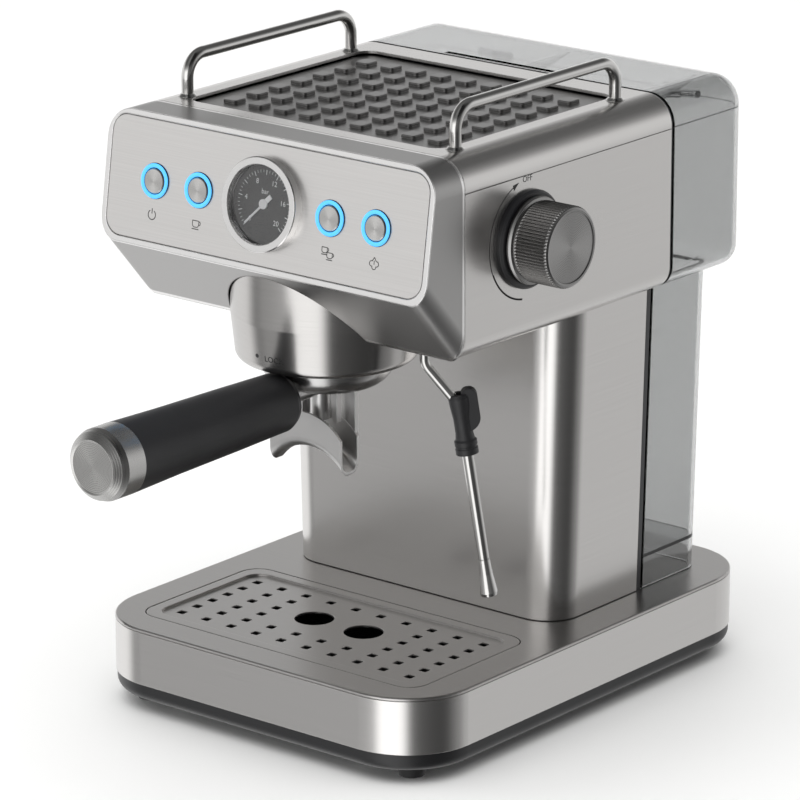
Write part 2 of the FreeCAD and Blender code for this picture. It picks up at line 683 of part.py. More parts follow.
# ---------------------------------------------------------------- pressure gauge
def build_gauge():
    case = lathe("gauge_case", [
        ("0", "-21"), ("dial_radius + 1.6", "-21"), ("dial_radius + 1.6", "0"), ("gauge_radius", "0"),
        ("gauge_radius", "gauge_proud - 0.5"), ("gauge_radius - 0.5", "gauge_proud"), ("dial_radius + 0.5", "gauge_proud"),
        ("dial_radius", "gauge_proud - 1"), ("dial_radius", "-1.5"), ("0", "-1.5")])
    keep(lean_on_panel(case, "0", "button_row"))
    dial = lathe("gauge_dial", [("1.2", "-1.3"), ("dial_radius - 0.1", "-1.3"), ("dial_radius - 0.1", "-0.5"),
                                ("1.2", "-0.5")])
    keep(lean_on_panel(dial, "0", "button_row"))
    boss = solid("Cylinder", "0", "0", "-0.3", Radius="2.6", Height="1")
    blade = solid("Box", "-0.55", "-6", "-0.1", Length="1.1", Width="22", Height="0.5")
    tail = solid("Box", "-1.3", "-6.5", "-0.1", Length="2.6", Width="5", Height="0.5")
    needle = joined("needle_parts", boss, blade, tail)
    needle.Placement = FreeCAD.Placement(V(0, 0, 0), FreeCAD.Rotation(V(0, 0, 1), value("needle_rest")))
    keep(lean_on_panel(grouped("gauge_needle", needle), "0", "button_row"))
    glass = lathe("gauge_glass", [("0", "1.4"), ("dial_radius - 0.1", "1.4"), ("dial_radius - 0.1", "2.2"), ("0", "2.2")])
    keep(lean_on_panel(glass, "0", "button_row"))


# ---------------------------------------------------------------- group and portafilter
def build_group():
    shroud = round_edges(shroud_form("shroud_form", "0", "shroud_z", "shroud_top - 0.6"), "5", "Z", "shroud_z")
    hollow = shroud_form("shroud_hollow", "-1.6", "shroud_z + 1.6", "shroud_top")
    mouth = rod("0", "group_y", "shroud_z - 1", "41", "4")
    keep(cut("group_shroud", shroud, hollow, mouth))

    def on_group(body):
        return keep(place(body, "0", "group_y", "0"))

    on_group(lathe("group_head", [("3", "216"), ("37", "216"), ("37", "210.5"), ("40.4", "210.5"), ("40.4", "203"),
                                  ("37", "203"), ("37", "202.2"), ("43.5", "202.2"), ("43.5", "223"), ("3", "223")]))
    on_group(lathe("group_gasket", [("29.4", "210.7"), ("35", "210.7"), ("35", "216"), ("29.4", "216")]))
    on_group(lathe("shower_screen", [("3", "213.4"), ("28.8", "213.4"), ("28.8", "214.6"), ("3", "214.6")]))
    shower_screw = lathe("shower_screw", [("0", "211.6"), ("5", "211.6"), ("5", "213.4"), ("2.98", "213.4"),
                                          ("2.98", "222"), ("0", "222")])
    keep(grouped("screws", place(shower_screw, "0", "group_y", "0"), *base_screws()))
    pot = place(lathe("boiler_pot", [("0", "223"), ("36", "223"), ("36", "234"), ("40", "236"), ("40", "243"),
                                   ("36", "245"), ("36", "256"), ("30", "260"), ("0", "260")]), "0", "group_y", "0")
    plugs = [rod(x, "group_y + 8", "259", "7", "5") for x in ("-14", "4")]
    keep(joined("boiler", pot, *plugs))


def bowl():
    """Cast bowl with two bayonet lugs, a drain hole and the neck that carries the handle."""
    cup = lathe("bowl_cup", [("0", "bowl_z + 4"), ("22", "bowl_z + 4"), ("30.6", "bowl_z + 12.3"), ("30.6", "209"),
                             ("bowl_radius", "209"), ("bowl_radius", "bowl_z"), ("0", "bowl_z")])
    round_edges(cup, "14", "Z", "bowl_z")
    place(cup, "0", "group_y", "0")
    blocks = [box(f"{side}*36.5 - 3", f"{side}*36.5 + 3", "group_y - 7", "group_y + 7", "204", "208.5")
              for side in (-1, 1)]
    lugs = doc.addObject("Part::MultiCommon", "bowl_lugs")
    lugs.Shapes = [joined("lug_pair", *blocks), rod("0", "group_y", "203", "39.8", "6")]
    neck = rod("0", "group_y - grip_start", "handle_z + 3.2", "6.4", "23", "y")
    drain = rod("0", "spout_y + 3.4", "bowl_z - 3", "2.2", "10")
    room = place(lathe("bowl_room", [("0", "bowl_z + 4"), ("22", "bowl_z + 4"), ("30.6", "bowl_z + 12.3"),
                                     ("30.6", "215"), ("0", "215")]), "0", "group_y", "0")
    return cut("portafilter_bowl", joined("bowl_whole", cup, lugs, neck), drain, room)


def add_arch(sketch, reach, radius, low_peak, high_peak):
    """Region between two equal arcs, one above the other, closed by upright ends at -reach and reach."""
    drop = f"({radius} - sqrt({radius}^2 - {reach}^2))"
    corners = [(f"-({reach})", f"{low_peak} - {drop}"), (reach, f"{low_peak} - {drop}"),
               (reach, f"{high_peak} - {drop}"), (f"-({reach})", f"{high_peak} - {drop}")]
    spots = [V(value(x), value(y), 0) for x, y in corners]
    low = sketch.addGeometry(Part.Arc(spots[1], V(0, value(low_peak), 0), spots[0]), False)
    high = sketch.addGeometry(Part.Arc(spots[2], V(0, value(high_peak), 0), spots[3]), False)
    right = sketch.addGeometry(Part.LineSegment(spots[1], spots[2]), False)
    left = sketch.addGeometry(Part.LineSegment(spots[3], spots[0]), False)
    for one, end, other, start in ((low, 1, right, 1), (right, 2, high, 1), (high, 2, left, 1), (left, 2, low, 2)):
        sketch.addConstraint(Sketcher.Constraint("Coincident", one, end, other, start))
    for line, (x, y) in ((right, corners[1]), (left, corners[3])):
        hold(sketch, "DistanceX", -1, 1, line, 1, size=x)
        hold(sketch, "DistanceY", -1, 1, line, 1, size=y)
    hold(sketch, "DistanceY", -1, 1, right, 2, size=corners[2][1])
    sketch.addConstraint(Sketcher.Constraint("Vertical", right))
    sketch.addConstraint(Sketcher.Constraint("Vertical", left))
    hold(sketch, "DistanceY", -1, 1, left, 2, size=corners[0][1])
    for arc in (low, high):
        hold(sketch, "Radius", arc, size=radius)


def spout():
    """Ribbed stem over a U channel that arches to both sides, open above, with two pouring ends."""
    channel = new_body("spout_channel")
    side = new_sketch(channel, "XZ", "spout_y")
    add_arch(side, "spout_reach", "spout_bend", "spout_z", "spout_z + spout_deep")
    extrude(channel, side, "Pad", "spout_wide", both=True)
    doc.recompute()
    belly = [("0", f"spout_y + {side}*spout_wide/2", "spout_z") for side in (-1, 1)]
    round_through(channel, "spout_wide/2 - 1.8", belly)
    inner = new_body("spout_hollow")
    trough = new_sketch(inner, "XZ", "spout_y")
    add_arch(trough, "spout_reach", "spout_bend", "spout_z + 1.6", "spout_z + spout_deep + 4")
    extrude(inner, trough, "Pad", "spout_wide - 3", both=True)
    doc.recompute()
    floor = [("0", f"spout_y + {side}*(spout_wide/2 - 1.5)", "spout_z + 1.6") for side in (-1, 1)]
    round_through(inner, "spout_wide/2 - 3.3", floor)
    stem = [rod("0", "stem_y - 2.4", "166", "5.4", "bowl_z - 166"),
            box("-22.5", "22.5", "stem_y - 1.3", "stem_y + 1.3", "161.5", "bowl_z"),
            box("10", "13.2", "stem_y - 5", "stem_y", "166", "bowl_z"),
            box("-13.2", "-10", "stem_y - 5", "stem_y", "166", "bowl_z")]
    drain = rod("0", "spout_y + 3.4", "162", "2.2", "30")
    pourer = cut("spout_pourer", channel, inner)
    return cut("spout", joined("spout_whole", pourer, *stem), drain)


def on_handle(name, points):
    """A piece turned about the handle's axis, which runs forwards from the group's axis."""
    body = lathe(name, points)
    body.Placement = FreeCAD.Placement(V(0, 0, 0), FreeCAD.Rotation(V(1, 0, 0), 90))
    return place(body, "0", "group_y", "handle_z")


def build_portafilter():
    keep(bowl())
    basket = lathe("filter_basket", [("0", "190"), ("22.5", "190"), ("28.6", "197"), ("28.6", "209"), ("33.5", "209"),
                                     ("33.5", "210.2"), ("27.8", "210.2"), ("27.8", "197.3"), ("22.1", "190.9"),
                                     ("0", "190.9")])
    keep(place(basket, "0", "group_y", "0"))
    keep(spout())
    keep(on_handle("handle_grip", [
        ("4.02", "grip_start + 0.5"), ("9", "grip_start + 0.5"), ("grip_radius - 4.5", "grip_start + 0.5"),
        ("grip_radius - 1.4", "grip_start + 2"), ("grip_radius", "grip_start + 5.5"), ("grip_radius + 0.9", "grip_start + 40"),
        ("grip_end_radius - 1.2", "grip_end - 36"), ("grip_end_radius", "grip_end"), ("4.02", "grip_end")]))
    keep(on_handle("handle_cap", [
        ("4.02", "grip_end"), ("grip_end_radius", "grip_end"), ("grip_end_radius", "handle_length - 7"),
        ("grip_end_radius - 1.3", "handle_length - 3.2"), ("grip_end_radius - 4.6", "handle_length"),
        ("grip_end_radius - 5.6", "handle_length - 0.6"), ("0", "handle_length - 0.6"),
        ("0", "handle_length - 4"), ("4.02", "handle_length - 4")]))
    keep(on_handle("handle_stud", [("0", "grip_start + 0.2"), ("4", "grip_start + 0.2"),
                                   ("4", "handle_length - 4.2"), ("0", "handle_length - 4.2")]))


# ---------------------------------------------------------------- steam wand
def on_wand(reach, z):
    """A point of the wand's own upright plane: `reach` out from its swivel, at height z."""
    return (f"wand_x + ({reach})*cos(wand_turn)", f"wand_y + ({reach})*sin(wand_turn)", z)


def wand_lathe(name, points):
    """A piece turned about the straight lower tube, which leans out by a few degrees."""
    body = lathe(name, points)
    lean = FreeCAD.Rotation(V(0, 1, 0), -value("wand_lean"))
    body.Placement = FreeCAD.Placement(V(0, 0, 0), FreeCAD.Rotation(V(0, 0, 1), value("wand_turn")) * lean)
    x, y, z = on_wand("wand_reach", "wand_knee_z")
    return place(body, x, y, z)


def build_wand():
    knee = on_wand("wand_reach", "wand_knee_z")
    tip = on_wand("wand_reach + (wand_knee_z - 93)*tan(wand_lean)", "93")
    course = [("wand_x", "wand_y", "head_floor + 12"), ("wand_x", "wand_y", "212.5"), knee, tip]
    run = pipe("wand_run", course, "pipe_radius", "9")
    ball = solid("Sphere", "wand_x", "wand_y", "head_floor + 9", Radius="4.2")
    keep(joined("wand_pipe", run, ball))
    nut = lathe("wand_socket", [("3.1", "head_floor + 1.6"), ("5.3", "head_floor + 1.6"), ("5.3", "head_floor + 22"),
                                ("2.3", "head_floor + 22"), ("2.3", "head_floor + 17"), ("4.5", "head_floor + 17"),
                                ("4.5", "head_floor + 3.4"), ("3.1", "head_floor + 3.4")])
    keep(place(nut, "wand_x", "wand_y", "0"))
    grip = wand_lathe("grip_sleeve", [
        ("pipe_radius + 0.3", "7"), ("4.8", "7"), ("5.6", "5"), ("5.4", "1"), ("4.6", "-6"), ("4.6", "-14"), ("5", "-17"),
        ("5.9", "-18"), ("5.9", "-20.4"), ("5.5", "-20.8"), ("5.5", "-21.6"), ("5.9", "-22"), ("5.9", "-25"),
        ("pipe_radius + 0.3", "-25")])
    tab = new_body("finger_tab")
    leaf = new_sketch(tab, "XZ")
    add_rectangle(leaf, "1", "9.4", "-13", "9.5", corners=("0.6", "7.5", "4.3", "3.6"))
    extrude(tab, leaf, "Pad", "6", both=True)
    tab.Placement = grip.Placement
    place(tab, *knee)
    flutes = []
    for across in (4.1, 5.8, 7.5):
        for through in (-3.6, 2.2):
            flute = solid("Box", Length="0.8", Width="1.4", Height="12")
            flute.Placement = grip.Placement.multiply(FreeCAD.Placement(V(across, through, -6), FreeCAD.Rotation()))
            flutes.append(flute)
    bored = pipe("grip_bore", course, "pipe_radius + 0.3", "9")
    keep(cut("wand_grip", joined("grip_whole", grip, tab), bored, *flutes))
    keep(wand_lathe("wand_tube", [("pipe_radius + 0.02", "-25.3"), ("3.1", "-25.3"), ("3", "-82.6"),
                                  ("pipe_radius + 0.02", "-82.6")]))
    keep(wand_lathe("wand_nozzle", [("pipe_radius + 0.02", "-82.9"), ("3.1", "-82.9"), ("3.5", "-91"), ("4.7", "-101"),
                                    ("4.4", "-102.6"), ("0.6", "-103"), ("0.6", "-100"), ("pipe_radius + 0.02", "-100")]))


# ---------------------------------------------------------------- steam knob and valve
def on_knob(name, points):
    """A piece turned about the knob's axis, which points to the machine's right."""
    body = lathe(name, points)
    body.Placement = FreeCAD.Placement(V(0, 0, 0), FreeCAD.Rotation(V(0, 1, 0), 90))
    return place(body, "0", "knob_y", "knob_z")


def build_knob():
    keep(on_knob("knob_ring", [("4.5", "head_half"), ("knob_ring_radius", "head_half"),
                               ("knob_ring_radius", "head_half + 2"), ("knob_ring_radius - 1.2", "head_half + 3.4"),
                               ("4.5", "head_half + 3.4")]))
    drum = on_knob("knob_drum", [("3", "head_half + 4"), ("knob_radius + 1.6", "head_half + 4"),
                                 ("knob_radius + 1.2", "head_half + 6.5"), ("knob_radius", "head_half + 7.5"),
                                 ("knob_radius", "knob_face_x - 0.9"), ("knob_radius - 0.9", "knob_face_x"),
                                 ("knob_radius - 2", "knob_face_x"), ("knob_radius - 2.5", "knob_face_x - 0.5"),
                                 ("0", "knob_face_x - 0.5"), ("0", "knob_face_x - 10"), ("3", "knob_face_x - 10")])
    keep(named("steam_knob", drum))
    keep(on_knob("valve_spindle", [("0", "head_half - 16"), ("2.98", "head_half - 16"), ("2.98", "knob_face_x - 10.1"),
                                   ("0", "knob_face_x - 10.1")]))
    body = on_knob("valve_body", [("3.05", "head_half - 15.5"), ("9", "head_half - 15.5"), ("9", "head_half - 2"),
                                  ("3.05", "head_half - 2")])
    block = on_knob("valve_block", [("0", "head_half - 36"), ("12", "head_half - 36"), ("12", "head_half - 16.5"),
                                    ("0", "head_half - 16.5")])
    sleeve = on_knob("valve_neck", [("4", "head_half - 17"), ("9", "head_half - 17"), ("9", "head_half - 15"),
                                    ("4", "head_half - 15")])
    nipple = rod("wand_x", "knob_y - 22", "knob_z", "3.4", "12", "y")
    outlet = pipe("valve_outlet", [("wand_x", "knob_y - 21", "knob_z"), ("wand_x", "wand_y", "knob_z"),
                                   ("wand_x", "wand_y", "head_floor + 22.2")], "2.2", "8")
    keep(joined("steam_valve", body, block, sleeve, nipple, outlet))


# ---------------------------------------------------------------- water tank
def tank_section(name, inset, low, high):
    """The head's section carried back, with rounded back edges."""
    back = f"tank_back - ({inset})"
    body = head_form(name, inset, f"tank_front + ({inset})", back, low, high)
    behind = value(back)
    open_level = value("seam_z")

    def on_back(edge):
        room = edge.BoundBox
        along_seam = room.ZLength < 0.02 and abs(room.ZMin - open_level) < 0.02
        return abs(room.YMin - behind) < 0.02 and room.YLength < 0.02 and not along_seam

    return round_where(body, f"tank_corner - 2 - ({inset})", on_back)


def tank_leg(name, inset, low, high):
    """The narrower lower part behind the column, with rounded back corners."""
    body = new_body(name)
    front, back = f"tank_front + ({inset})", f"tank_low_back - ({inset})"
    spread = "(column_high - column_low)/(head_floor - plate_z)"
    low_half = f"column_low - 0.5 + ({low} - plate_z)*{spread} - ({inset})"
    high_half = f"column_low - 0.5 + ({high} - plate_z)*{spread} - ({inset})"
    sketch = new_sketch(body, "XZ", front)
    add_polygon(sketch, [(f"-({low_half})", low), (low_half, low), (high_half, high), (f"-({high_half})", high)])
    extrude(body, sketch, "Pad", f"({back}) - ({front})", backwards=True)
    return round_slanted(body, f"12 - ({inset})", [(f"{side}*({low_half})", back, low) for side in (-1, 1)])


def water_tank():
    """One clear moulding: a wide upper part over a narrow leg, open above, with a raised floor."""
    outside = joined("tank_outside", tank_section("tank_top", "0", "floor", "seam"),
                     tank_leg("tank_leg", "0", "plate_z + 0.4", "head_floor + 8"))
    inside = joined("tank_inside", tank_section("tank_top_hollow", "tank_wall", "floor", "seam"),
                    tank_leg("tank_leg_hollow", "tank_wall", "tank_floor_z + 2", "head_floor + 8"))
    foot = tank_leg("tank_foot_hollow", "tank_wall", "plate_z - 1", "tank_floor_z")
    valve = rod("0", "98", "tank_floor_z - 1", "9", "5")
    return cut("tank_moulding", outside, inside, foot, valve)


def build_tank():
    ears = []
    for side in (-1, 1):
        barrel = rod(f"{side}*58 - 5", "hinge_y", "seam_z", "2.3", "10", "x")
        web = box(f"{side}*58 - 5", f"{side}*58 + 5", "tank_back - 2", "hinge_y", "seam_z - 2.3", "seam_z - 0.2")
        bore = rod(f"{side}*58 - 6", "hinge_y", "seam_z", "1.2", "12", "x")
        ears.append(cut("tank_ear", joined("tank_ear_whole", barrel, web), bore))
    keep(joined("water_tank", water_tank(), *ears))
    keep(grouped("lid_pins", *[rod(f"{side}*64 - 10", "hinge_y", "seam_z", "pin_radius", "20", "x") for side in (-1, 1)]))
    shell = cut("lid_shell", tank_section("lid_form", "0", "seam", "top"),
                tank_section("lid_hollow", "2", "seam", "top"))
    trim = box("-120", "120", "60", "150", "seam_z - 5", "seam_z + 0.4")
    slot = box("-47", "37", "tank_front + 2.5", "tank_front + 6", "seam_z", "seam_z + 30")
    knuckles = []
    for side in (-1, 1):
        barrel = rod(f"{side}*69 - 5", "hinge_y", "seam_z", "2.3", "10", "x")
        web = box(f"{side}*69 - 5", f"{side}*69 + 5", "tank_back - 2", "hinge_y", "seam_z + 0.5", "seam_z + 2.3")
        bore = rod(f"{side}*69 - 6", "hinge_y", "seam_z", "1.24", "12", "x")
        knuckles.append(cut("lid_knuckle", joined("lid_knuckle_whole", barrel, web), bore))
    gusset = []
    for x in ("4", "88"):
        wedge = new_body("lid_gusset")
        sketch = new_sketch(wedge, "YZ", x)
        add_polygon(sketch, [("tank_front + 3", f"{HEAD_TOP} - 1"), ("tank_front + 52", f"{HEAD_TOP} - 1"),
                             ("tank_front + 3", f"{HEAD_TOP} - 11")])
        extrude(wedge, sketch, "Pad", "1.6", both=True)
        gusset.append(wedge)
    keep(joined("tank_lid", cut("lid_trimmed", shell, trim, slot), *knuckles, *gusset))
    valve = lathe("tank_valve", [("0", "plate_z + 3"), ("5", "plate_z + 3"), ("5", "tank_floor_z - 1.2"),
                                 ("8.9", "tank_floor_z - 1.2"), ("8.9", "tank_floor_z + 3"), ("3", "tank_floor_z + 3"),
                                 ("3", "tank_floor_z + 8"), ("0", "tank_floor_z + 8")])
    keep(place(valve, "0", "98", "0"))
    seat = lathe("tank_seat", [("3", "plate_z - 14"), ("6", "plate_z - 14"), ("6", "plate_z - 1.5"),
                               ("14.9", "plate_z - 1.5"), ("14.9", "plate_z"), ("12", "plate_z + 6"),
                               ("9", "plate_z + 6"), ("7", "plate_z + 1"), ("3", "plate_z + 1")])
    keep(place(seat, "0", "98", "0"))


# ---------------------------------------------------------------- pump, pipes and electrics
def build_inside():
    keep(joined("pump", rod("-40", "30", "78", "17", "78"), rod("-40", "30", "66", "5", "12"),
                rod("-40", "30", "156", "7", "16"), box("-61", "-19", "10", "50", "94", "138")))
    mounts = [cut("mount_ring", joined("mount_whole", rod("-40", "30", z, "21", "6"),
                                       box("-48", "-32", "48", "column_back", z, f"{z} + 6")),
                  rod("-40", "30", f"{z} - 1", "17.02", "8")) for z in ("82", "146")]
    keep(grouped("pump_mounts", *mounts))
    keep(pipe("supply_hose", [("0", "98", "33.8"), ("0", "98", "24"), ("-12", "60", "24"), ("-40", "38", "30"),
                              ("-40", "30", "48"), ("-40", "30", "65.8")], "4", "9"))
    keep(pipe("pressure_tube", [("-40", "30", "172.2"), ("-40", "30", "196"), ("-36", "8", "232"), ("-20", "-20", "254.4"),
                                ("0", "-30", "254.4"), ("0", "group_y + 36.2", "254.4")], "2.5", "6"))
    keep(pipe("steam_tube", [("22", "group_y + 12", "260.2"), ("22", "group_y + 12", "280"), ("60", "-42", "296"),
                             ("wand_x", "knob_y + 4", "300"), ("wand_x", "knob_y", "286.2")], "2.2", "6"))
    board = box("-101", "-99.4", "-70", "50", "236", "300")
    parts = [box("-99.4", "-80", "-10", "24", "262", "290"), box("-99.4", "-86", "-50", "-26", "270", "286"),
             box("-99.4", "-90", "30", "42", "244", "280")]
    keep(joined("control_board", board, *parts))
    gland = lathe("cord_gland", [("3.6", "-7"), ("11", "-7"), ("11", "-2.2"), ("7.9", "-2.2"), ("7.9", "0"), ("10", "0"),
                                 ("9", "3"), ("6.5", "6"), ("3.6", "6")])
    gland.Placement = FreeCAD.Placement(V(0, 0, 0), FreeCAD.Rotation(V(1, 0, 0), -90))
    keep(place(gland, "-70", "base_depth/2", "32"))


# ---------------------------------------------------------------- build, check and write
build_base()
build_column_and_head()
build_front()
build_gauge()
build_group()
build_portafilter()
build_wand()
build_knob()
build_tank()
build_inside()
doc.recompute()

for thing in doc.Objects:
    if "Invalid" in thing.State or "Error" in thing.State:
        raise RuntimeError(f"{thing.Label} ({thing.Name}) failed: {thing.State}")
for node in nodes:
    if node.Shape.isNull() or not node.Shape.isValid() or not node.Shape.Solids:
        raise RuntimeError(f"{node.Label} has no valid solid")

os.makedirs("parts", exist_ok=True)
for node in nodes:
    node.Shape.exportStep(f"parts/{node.Label}.step")
print(len(nodes), "nodes written")
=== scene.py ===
"""Pump espresso machine: finishes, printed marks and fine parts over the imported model, in metres."""
from math import cos, pi, radians, sin

import bpy
import numpy as np
from mathutils import Matrix


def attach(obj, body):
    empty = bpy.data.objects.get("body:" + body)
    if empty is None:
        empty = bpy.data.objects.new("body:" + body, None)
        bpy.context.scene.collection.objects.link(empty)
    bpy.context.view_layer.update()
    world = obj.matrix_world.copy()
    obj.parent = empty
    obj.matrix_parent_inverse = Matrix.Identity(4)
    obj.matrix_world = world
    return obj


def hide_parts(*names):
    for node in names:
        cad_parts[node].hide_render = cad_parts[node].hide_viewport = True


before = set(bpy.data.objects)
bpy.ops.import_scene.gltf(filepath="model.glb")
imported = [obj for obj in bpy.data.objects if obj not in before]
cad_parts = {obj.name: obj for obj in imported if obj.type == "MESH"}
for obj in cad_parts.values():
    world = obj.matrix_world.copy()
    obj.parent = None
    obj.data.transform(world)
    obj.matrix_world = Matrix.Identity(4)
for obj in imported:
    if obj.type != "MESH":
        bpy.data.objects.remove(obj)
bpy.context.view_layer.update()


# ---------------------------------------------------------------- camera, floor and light
# A long lens looks down a little on the machine's front right corner, on a pale sweep of board.
# The lights only soften the shadows: what the metal mirrors is a ring of pale and black studio
# flats round the machine under a dark ceiling, and the board is kept out of its reflections.
VIEW_TURN = radians(38.99)
VIEW_RISE = radians(17.12)
CAMERA_PLACE = (1.5885, -1.9681, 0.9368)
LENS_MM, SENSOR_MM = 222.45, 36
LENS_SHIFT = (-0.0252, -0.0083)
FLOOR_REACH = 12.0
MACHINE_MIDDLE = (0, 0, 0.2)


def facing(place, side, away):
    """A placement whose X runs along `side` and whose Z points along `away`, both unit vectors."""
    turned = Matrix.Identity(4)
    for column, axis in enumerate((side, np.cross(away, side), away)):
        for row in range(3):
            turned[row][column] = axis[row]
    return Matrix.Translation(place) @ turned


back = np.array([sin(VIEW_TURN) * cos(VIEW_RISE), -cos(VIEW_TURN) * cos(VIEW_RISE), sin(VIEW_RISE)])
right = np.array([cos(VIEW_TURN), sin(VIEW_TURN), 0])
camera = bpy.data.objects.new("camera", bpy.data.cameras.new("camera"))
camera.data.lens = LENS_MM
camera.data.sensor_width = SENSOR_MM
camera.data.shift_x, camera.data.shift_y = LENS_SHIFT
camera.data.clip_end = 50
camera.matrix_world = facing(CAMERA_PLACE, right, back)
bpy.context.scene.collection.objects.link(camera)
bpy.context.scene.camera = camera
bpy.context.scene.view_settings.view_transform = "Standard"


def colour(code):
    """sRGB hex to linear: each channel is c/12.92 when small, else ((c + 0.055)/1.055) to the power 2.4."""
    channels = np.array([int(code[i:i + 2], 16) for i in (1, 3, 5)]) / 255
    linear = np.where(channels <= 0.04045, channels / 12.92, ((channels + 0.055) / 1.055) ** 2.4)
    return (*linear.tolist(), 1)


def add(tree, kind, inputs=None, links=None, **settings):
    """Adds a node with its settings, its input values and its links, each given as (node, output)."""
    node = tree.nodes.new(f"ShaderNode{kind}")
    for key, value in settings.items():
        setattr(node, key, value)
    for key, value in (inputs or {}).items():
        node.inputs[key].default_value = value
    for key, (other, output) in (links or {}).items():
        tree.links.new(other.outputs[output], node.inputs[key])
    return node


def new_material(name):
    material = bpy.data.materials.new(name)
    material.use_nodes = True
    material.node_tree.nodes.clear()
    return material, material.node_tree


def surface(tree, shader):
    add(tree, "OutputMaterial", links={"Surface": (shader, "BSDF")})


def softbox(name, place, aim, size, watts):
    """A rectangular area light at a place, turned towards a point."""
    data = bpy.data.lights.new(name, "AREA")
    data.shape = "RECTANGLE"
    data.size, data.size_y = size
    data.energy = watts
    light = bpy.data.objects.new(name, data)
    away = np.array(place) - np.array(aim)
    away = away / np.linalg.norm(away)
    side = np.cross([0, 0, 1], away)
    light.matrix_world = facing(place, side / np.linalg.norm(side), away)
    bpy.context.scene.collection.objects.link(light)
    return light


for light in (softbox("overhead", (0.2, -0.6, 2.4), MACHINE_MIDDLE, (2.2, 2.2), 16),
              softbox("left_side", (-2.0, -1.2, 1.1), MACHINE_MIDDLE, (0.9, 1.6), 8)):
    light.visible_glossy = False
sun = bpy.data.objects.new("ceiling_bounce", bpy.data.lights.new("ceiling_bounce", "SUN"))
sun.data.energy = 2.6
sun.data.angle = radians(100)
sun.visible_glossy = False
bpy.context.scene.collection.objects.link(sun)

world = bpy.data.worlds.new("studio")
bpy.context.scene.world = world
world.use_nodes = True
world.node_tree.nodes.clear()
sky = world.node_tree
aim = add(sky, "SeparateXYZ", links={"Vector": (add(sky, "TexCoord"), "Generated")})
front = add(sky, "Math", {1: -1}, {0: (aim, "Y")}, operation="MULTIPLY")
bearing = add(sky, "Math", {}, {0: (aim, "X"), 1: (front, "Value")}, operation="ARCTAN2")
around = add(sky, "MapRange", {"From Min": -pi, "From Max": pi}, {"Value": (bearing, "Value")})


def ring_of_greys(stops):
    """Greys round the horizon; each stop is (degrees to the right of straight ahead, grey)."""
    ramp = add(sky, "ValToRGB", links={"Fac": (around, "Result")})
    ramp.color_ramp.interpolation = "EASE"
    elements = ramp.color_ramp.elements
    elements[0].position, elements[0].color = (stops[0][0] + 180) / 360, (*[stops[0][1]] * 3, 1)
    elements[1].position, elements[1].color = (stops[-1][0] + 180) / 360, (*[stops[-1][1]] * 3, 1)
    for degrees, grey in stops[1:-1]:
        elements.new((degrees + 180) / 360).color = (grey, grey, grey, 1)
    return ramp


# The low ring is what tilted faces mirror near the floor, and the level ring what upright faces mirror.
low = ring_of_greys([(-180, 0.75), (-130, 1.0), (-72, 1.15), (-54, 0.28), (-40, 0.46), (-14, 0.55), (-3, 1.7),
                     (30, 1.7), (44, 0.12), (95, 0.06), (124, 0.3), (138, 0.66), (180, 0.75)])
level = ring_of_greys([(-180, 0.9), (-130, 1.0), (-72, 1.1), (-50, 0.86), (-30, 0.9), (-3, 1.7),
                       (30, 1.7), (44, 0.2), (95, 0.12), (124, 0.5), (138, 0.85), (180, 0.9)])
lift = add(sky, "MapRange", {"From Min": -0.26, "From Max": -0.06}, {"Value": (aim, "Z")},
           interpolation_type="SMOOTHSTEP")
rim = add(sky, "MixRGB", {}, {"Fac": (lift, "Result"), "Color1": (low, "Color"), "Color2": (level, "Color")})
# The ceiling multiplies them: place 0.5 is level with the machine and 1 is straight up.
height = add(sky, "MapRange", {"From Min": -1, "From Max": 1}, {"Value": (aim, "Z")})
ceiling = add(sky, "ValToRGB", links={"Fac": (height, "Result")})
elements = ceiling.color_ramp.elements
elements[0].position, elements[0].color = 0.0, (0.95, 0.95, 0.95, 1)
elements[1].position, elements[1].color = 1.0, (0.16, 0.16, 0.16, 1)
for place, grey in ((0.62, 1.0), (0.7, 0.42), (0.8, 0.12)):
    elements.new(place).color = (grey, grey, grey, 1)
studio = add(sky, "MixRGB", {"Fac": 1}, {"Color1": (rim, "Color"), "Color2": (ceiling, "Color")},
             blend_type="MULTIPLY")
glow = add(sky, "Background", {"Strength": 1.0}, {"Color": (studio, "Color")})
add(sky, "OutputWorld", links={"Surface": (glow, "Background")})

board, tree = new_material("painted_board_white")
grain = add(tree, "TexNoise", {"Scale": 40, "Detail": 2}, {"Vector": (add(tree, "TexCoord"), "Object")})
worn = add(tree, "MapRange", {"To Min": 0.55, "To Max": 0.65}, {"Value": (grain, "Fac")})
surface(tree, add(tree, "BsdfPrincipled", {"Base Color": colour("#F4F4F3")}, {"Roughness": (worn, "Result")}))
floor_mesh = bpy.data.meshes.new("floor")
floor_corners = [(x * FLOOR_REACH, y * FLOOR_REACH, 0) for x, y in ((-1, -1), (1, -1), (1, 1), (-1, 1))]
floor_mesh.from_pydata(floor_corners, [], [(0, 1, 2, 3)])
floor_mesh.materials.append(board)
floor = bpy.data.objects.new("floor", floor_mesh)
floor.visible_glossy = False
bpy.context.scene.collection.objects.link(floor)


# ---------------------------------------------------------------- base, drip tray and grille
# The base is a band and a top plate of brushed 304 stainless sheet over an ABS skirt on rubber feet.
# The drip tray and its well are ABS, and the grille is a punched plate of the same brushed sheet.
def finish(material, *names):
    """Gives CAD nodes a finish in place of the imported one."""
    for name in names:
        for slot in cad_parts[name].material_slots:
            slot.material = material


